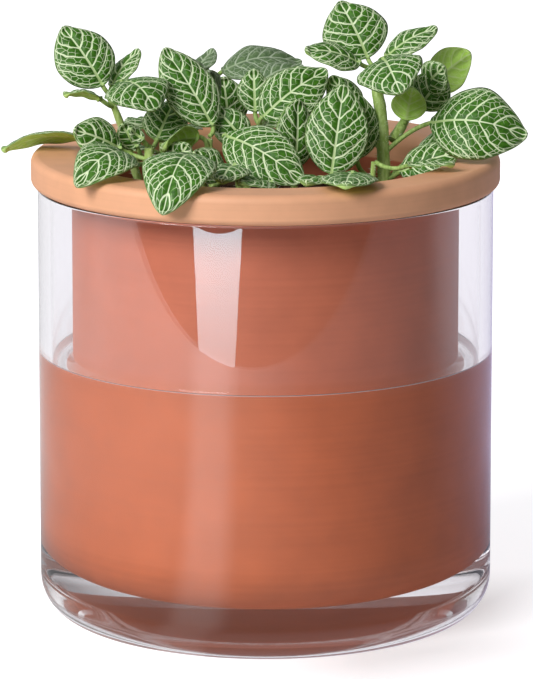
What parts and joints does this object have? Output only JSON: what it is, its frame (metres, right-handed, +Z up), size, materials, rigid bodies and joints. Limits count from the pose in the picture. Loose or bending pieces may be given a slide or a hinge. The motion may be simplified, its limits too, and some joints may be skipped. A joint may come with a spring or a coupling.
{
  "type": "self-watering plant pot",
  "caption": "Unglazed clay pot that hangs by its wide rim in a clear glass water jar and waters a small net-leaved plant through its porous wall.",
  "frame": {"origin": "centre of the jar's foot, on the surface it stands on", "axes": "+Z up along the common axis of jar and pot, -Y towards the front that the picture shows, +X to its right"},
  "size_m": [0.1611, 0.1454, 0.1895],
  "materials": {
    "clear_glass": "pressed and fire-polished",
    "still_water": "clear water, smooth surface",
    "terracotta": "unglazed, smooth and matt",
    "potting_soil": "crumbly damp peat mix",
    "leaf": "satin, green with pale net veins",
    "stem": "matt green with fine pale hairs"
  },
  "bodies": {
    "jar": {"glass_jar": "clear_glass", "water": "still_water"},
    "pot": {"terracotta_pot": "terracotta"},
    "plant": {"potting_soil": "potting_soil", "left_stem": "stem", "left_leaf_1": "leaf", "left_leaf_2": "leaf", "left_leaf_3": "leaf", "left_leaf_4": "leaf", "left_leaf_5": "leaf", "left_leaf_6": "leaf", "front_left_stem": "stem", "front_left_leaf_1": "leaf", "front_left_leaf_2": "leaf", "front_left_leaf_3": "leaf", "front_left_leaf_4": "leaf", "mid_left_stem": "stem", "mid_left_leaf_1": "leaf", "mid_left_leaf_2": "leaf", "rim_left_stem": "stem", "rim_left_leaf_1": "leaf", "rim_left_leaf_2": "leaf", "centre_front_stem": "stem", "centre_front_leaf_1": "leaf", "centre_stem": "stem", "centre_leaf_1": "leaf", "centre_leaf_2": "leaf", "centre_leaf_3": "leaf", "back_stem": "stem", "back_leaf_1": "leaf", "back_leaf_2": "leaf", "back_leaf_3": "leaf", "back_leaf_4": "leaf", "back_leaf_5": "leaf", "back_left_stem": "stem", "back_left_leaf_1": "leaf", "back_left_leaf_2": "leaf", "back_left_leaf_3": "leaf", "back_right_stem": "stem", "back_right_leaf_1": "leaf", "back_right_leaf_2": "leaf", "back_right_leaf_3": "leaf", "right_stem": "stem", "right_leaf_1": "leaf", "right_leaf_2": "leaf", "right_leaf_3": "leaf", "right_leaf_4": "leaf", "right_leaf_5": "leaf", "right_leaf_6": "leaf", "right_leaf_7": "leaf", "right_fork_stem": "stem", "right_fork_leaf_1": "leaf", "right_fork_leaf_2": "leaf", "right_fork_leaf_3": "leaf", "front_right_stem": "stem", "front_right_leaf_1": "leaf", "front_right_leaf_2": "leaf", "right_rim_stem": "stem", "right_rim_leaf_1": "leaf", "right_rim_leaf_2": "leaf"}
  },
  "joints": [
    {"name": "pot_lift", "type": "slide", "parent": "jar", "child": "pot", "axis": [0, 0, 1], "range_m": [0, 0.15], "deforming": ["water"]},
    {"name": "plant_lift", "type": "slide", "parent": "pot", "child": "plant", "axis": [0, 0, 1], "range_m": [0, 0.125]}
  ]
}
